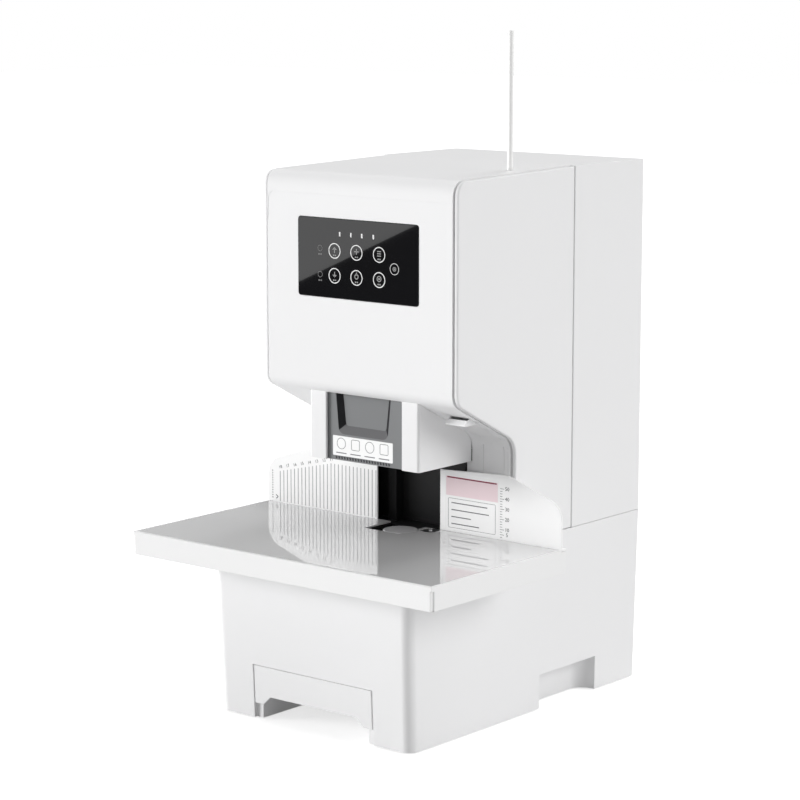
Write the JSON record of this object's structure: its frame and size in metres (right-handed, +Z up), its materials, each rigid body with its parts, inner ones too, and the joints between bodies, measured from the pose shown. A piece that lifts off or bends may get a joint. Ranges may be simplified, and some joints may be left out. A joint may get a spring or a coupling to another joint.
{
  "type": "document riveting machine",
  "caption": "Desk machine that drills and tube-rivets a stack of paper: table with two fences, deep head with touch panel, lifting guard, tube feeder, outlet lip and waste drawer.",
  "frame": {"origin": "on the desk, under the middle of the machine's footprint, in the machine's middle plane", "axes": "+Z up, -Y towards the operator, +X to the operator's right"},
  "size_m": [0.374, 0.423, 0.666],
  "materials": {
    "white_plastic": "fine satin moulded ABS",
    "white_sheet": "satin powder coat",
    "table_gloss": "polished grey sheet",
    "black_plastic": "fine texture",
    "grey_plastic": "satin",
    "panel_glass": "polished, printed black behind",
    "rubber": "matt",
    "steel": "ground",
    "zinc_sheet": "zinc plated sheet",
    "aluminium": "milled",
    "brass": "turned",
    "motor_can": "plated can",
    "nylon": "smooth",
    "circuit_board": "solder resist"
  },
  "bodies": {
    "housing": {"base_housing": "white_plastic", "foot_1": "rubber", "foot_2": "rubber", "foot_3": "rubber", "foot_4": "rubber", "chassis_plate": "zinc_sheet", "table_tray": "white_sheet", "table_surface": "table_gloss", "fence_left": "white_sheet", "fence_right": "white_sheet", "throat_liner": "black_plastic", "anvil_block": "aluminium", "drill_pad": "nylon", "rivet_anvil": "steel", "chip_chute": "black_plastic", "front_cover": "white_plastic", "cheek_left": "white_plastic", "cheek_right": "white_plastic", "rear_cover": "white_plastic", "nose_shell": "white_plastic", "panel_glass": "panel_glass", "touch_board": "circuit_board", "back_plate": "zinc_sheet", "top_arm": "aluminium", "nose_plate": "steel", "guide_rod_left": "steel", "guide_rod_right": "steel", "feed_motor": "motor_can", "ram_motor": "motor_can", "feeder_bracket": "zinc_sheet", "tube_guide": "black_plastic", "feeder_motor": "motor_can", "cutter_die": "steel", "cutter_base": "zinc_sheet", "cutter_solenoid": "motor_can", "outlet_chute": "white_plastic", "main_board": "circuit_board", "power_supply": "zinc_sheet", "power_inlet": "black_plastic", "switch_frame": "black_plastic"},
    "carriage": {"drill_carriage": "aluminium", "spindle_bearing": "steel", "drill_motor": "motor_can", "drive_belt": "rubber"},
    "spindle": {"drill_spindle": "steel", "spindle_pulley": "aluminium", "drill_bit": "steel"},
    "motor_pulley": {"motor_pulley": "aluminium"},
    "feed_screw": {"feed_screw": "steel"},
    "ram": {"rivet_ram": "steel", "rivet_die": "brass"},
    "ram_screw": {"ram_screw": "steel"},
    "press_foot": {"press_foot": "black_plastic"},
    "guard": {"guard": "grey_plastic"},
    "tube": {"nylon_tube": "nylon"},
    "drive_roller": {"drive_roller": "rubber"},
    "pinch_roller": {"pinch_roller": "steel"},
    "blade": {"cutter_blade": "steel"},
    "drawer": {"waste_drawer": "white_plastic"},
    "rocker": {"power_rocker": "black_plastic"}
  },
  "joints": [
    {"name": "carriage_feed", "type": "slide", "parent": "housing", "child": "carriage", "axis": [0, 0, -1], "range_m": [0, 0.0725]},
    {"name": "drill_spin", "type": "hinge", "parent": "carriage", "child": "spindle", "pos_m": [0.01, -0.0401, 0.345], "axis": [0, 0, 1], "continuous": true},
    {"name": "motor_pulley_spin", "type": "hinge", "parent": "carriage", "child": "motor_pulley", "pos_m": [-0.038, -0.05, 0.345], "axis": [0, 0, 1], "continuous": true},
    {"name": "feed_screw_turn", "type": "hinge", "parent": "housing", "child": "feed_screw", "pos_m": [-0.016, -0.0141, 0.36], "axis": [0, 0, 1], "range_deg": [0, 3263]},
    {"name": "press_foot_slide", "type": "slide", "parent": "housing", "child": "press_foot", "axis": [0, 0, -1], "range_m": [0, 0.0665]},
    {"name": "rivet_press", "type": "slide", "parent": "housing", "child": "ram", "axis": [0, 0, -1], "range_m": [0, 0.071]},
    {"name": "ram_screw_turn", "type": "hinge", "parent": "housing", "child": "ram_screw", "pos_m": [0.057, -0.0256, 0.36], "axis": [0, 0, 1], "range_deg": [0, 3196]},
    {"name": "guard_lift", "type": "slide", "parent": "housing", "child": "guard", "axis": [0, 0, 1], "range_m": [0, 0.045]},
    {"name": "tube_feed", "type": "slide", "parent": "housing", "child": "tube", "axis": [0, 0, -1], "range_m": [0, 0.058]},
    {"name": "drive_roller_turn", "type": "hinge", "parent": "housing", "child": "drive_roller", "pos_m": [0.0809, 0.02, 0.4555], "axis": [0, 1, 0], "range_deg": [0, 277]},
    {"name": "pinch_roller_turn", "type": "hinge", "parent": "housing", "child": "pinch_roller", "pos_m": [0.1046, 0.02, 0.4555], "axis": [0, 1, 0], "range_deg": [-605, 0]},
    {"name": "blade_slide", "type": "slide", "parent": "housing", "child": "blade", "axis": [0, -1, 0], "range_m": [-0.01, 0], "stiffness_N_per_m": 200},
    {"name": "drawer_slide", "type": "slide", "parent": "housing", "child": "drawer", "axis": [0, -1, 0], "range_m": [0, 0.12]},
    {"name": "rocker_tilt", "type": "hinge", "parent": "housing", "child": "rocker", "pos_m": [0.022, 0.20577, 0.0415], "axis": [1, 0, 0], "range_deg": [0, 6.5]}
  ],
  "couplings": [
    {"joint": "motor_pulley_spin", "follows": "drill_spin", "ratio": 1.3636},
    {"joint": "feed_screw_turn", "follows": "carriage_feed", "rad_per_m": 785.4},
    {"joint": "press_foot_slide", "follows": "carriage_feed", "ratio": 0.917},
    {"joint": "ram_screw_turn", "follows": "rivet_press", "rad_per_m": 785.4},
    {"joint": "drive_roller_turn", "follows": "tube_feed", "rad_per_m": 83.333},
    {"joint": "pinch_roller_turn", "follows": "tube_feed", "rad_per_m": -181.82}
  ]
}
